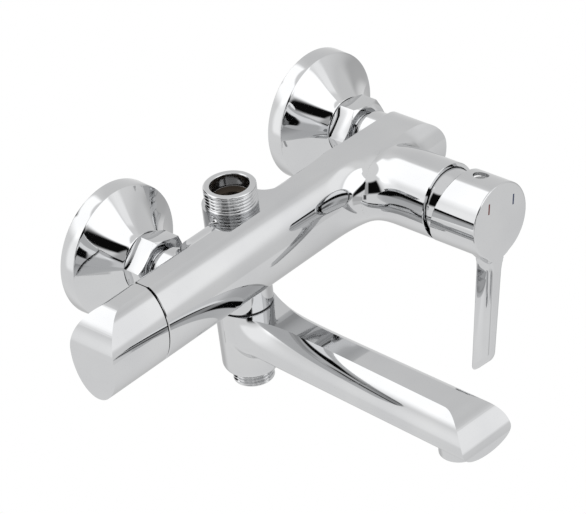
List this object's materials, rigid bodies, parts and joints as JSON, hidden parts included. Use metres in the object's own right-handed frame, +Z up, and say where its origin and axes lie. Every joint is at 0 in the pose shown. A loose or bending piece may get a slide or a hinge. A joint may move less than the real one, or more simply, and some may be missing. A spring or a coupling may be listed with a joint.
{
  "type": "wall mounted bath faucet",
  "caption": "Chrome wall mounted bath faucet: oval body on eccentric wall unions, lever mixer, swivelling spout, diverter knob, shower riser and hose outlets.",
  "frame": {"origin": "on the finished wall, midway between the two water inlets", "axes": "+X along the wall to the right seen from the room, +Y into the wall, +Z up"},
  "size_m": [0.2606, 0.2236, 0.1186],
  "materials": {
    "chrome": "polished chrome plate on brass",
    "brass": "machined",
    "seal_rubber": "moulded",
    "cartridge_plastic": "moulded",
    "steel": "machined",
    "dark_plastic": "moulded",
    "pale_plastic": "moulded",
    "plug_plastic": "plated plastic",
    "red_enamel": "inlaid enamel",
    "blue_enamel": "inlaid enamel"
  },
  "bodies": {
    "faucet": {"mixer_body": "chrome", "riser_nipple": "chrome", "riser_seal": "seal_rubber", "mixing_cartridge": "cartridge_plastic", "cartridge_seals": "seal_rubber", "cartridge_lock_nut": "brass", "cartridge_cover": "chrome", "diverter_cartridge": "cartridge_plastic", "diverter_lock_nut": "brass", "spout_pivot": "brass", "spout_o_rings": "seal_rubber", "spout_glide_ring": "dark_plastic", "hose_nipple": "chrome", "left_eccentric_union": "brass", "left_escutcheon": "chrome", "left_union_nut": "chrome", "left_union_gasket": "seal_rubber", "left_inlet_sleeve": "chrome", "right_eccentric_union": "brass", "right_escutcheon": "chrome", "right_union_nut": "chrome", "right_union_gasket": "seal_rubber", "right_inlet_sleeve": "chrome"},
    "turret": {"cartridge_turret": "cartridge_plastic", "cartridge_pivot_pin": "steel"},
    "lever": {"lever_handle": "chrome", "lever_spindle": "steel", "handle_set_screw": "steel", "handle_plug": "plug_plastic", "hot_mark": "red_enamel", "cold_mark": "blue_enamel"},
    "spout": {"spout": "chrome", "aerator_housing": "chrome", "aerator_insert": "pale_plastic", "aerator_gasket": "seal_rubber"},
    "diverter": {"diverter_knob": "chrome", "diverter_knob_screw": "steel", "diverter_stem": "brass"}
  },
  "joints": [
    {"name": "temperature_turn", "type": "hinge", "parent": "faucet", "child": "turret", "pos_m": [0.0468, -0.112, -0.006], "axis": [0, -1, 0], "range_deg": [-20, 70]},
    {"name": "flow_lift", "type": "hinge", "parent": "turret", "child": "lever", "pos_m": [0.0468, -0.112, -0.006], "axis": [-0.9806, 0, 0.1959], "range_deg": [0, 25]},
    {"name": "spout_swivel", "type": "hinge", "parent": "faucet", "child": "spout", "pos_m": [-0.0353, -0.0471, -0.06], "axis": [0, 0, 1], "range_deg": [-87, 14]},
    {"name": "diverter_turn", "type": "hinge", "parent": "faucet", "child": "diverter", "pos_m": [-0.113, -0.0617, -0.006], "axis": [1, 0, 0], "range_deg": [-60, 60]}
  ]
}
